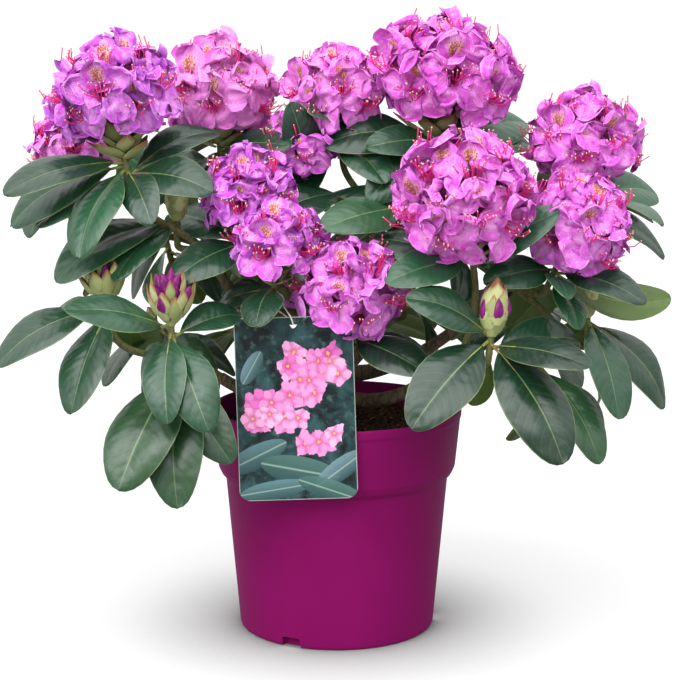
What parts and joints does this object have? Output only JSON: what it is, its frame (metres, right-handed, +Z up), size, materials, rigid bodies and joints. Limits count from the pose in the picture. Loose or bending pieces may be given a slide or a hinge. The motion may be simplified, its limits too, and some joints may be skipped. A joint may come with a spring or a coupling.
{
  "type": "potted flowering shrub",
  "caption": "Evergreen flowering shrub in a tapered round pot, with long leathery leaves, domed heads of funnel flowers on branching boughs, and a picture label tied on by a thread.",
  "frame": {"origin": "centre of the pot's flat underside, on the surface that the pot stands on", "axes": "+Z up, -Y toward the front of the plant, where the label hangs, +X to the right seen from the front"},
  "size_m": [0.5978, 0.4648, 0.5575],
  "materials": {
    "pot": "smooth moulded polypropylene, satin",
    "soil": "damp peat and bark crumbs",
    "bark": "thin grey-brown bark, greener toward the tips",
    "foliage": "leathery green leaves with a waxy sheen, and pink-purple blossom",
    "label": "printed card, satin",
    "thread": "thin white cord"
  },
  "bodies": {
    "plant": {"pot": "pot", "soil": "soil", "trunk": "bark", "bough_centre": "bark", "bough_left_low": "bark", "bough_left_high": "bark", "bough_right_front": "bark", "bough_right_high": "bark", "bough_front": "bark", "bough_back": "bark", "bough_back_left": "bark", "bough_back_right": "bark", "foliage_left_low": "foliage", "foliage_left_high": "foliage", "foliage_back_left": "foliage", "foliage_centre_top": "foliage", "foliage_front": "foliage", "foliage_right_front": "foliage", "foliage_right_high": "foliage", "foliage_back_right": "foliage", "foliage_back": "foliage", "label_thread": "thread"},
    "label": {"label": "label"}
  },
  "joints": [
    {"name": "label_swing", "type": "hinge", "parent": "plant", "child": "label", "pos_m": [-0.0365, -0.1055, 0.292], "axis": [-1, 0, 0], "range_deg": [0, 30]}
  ]
}
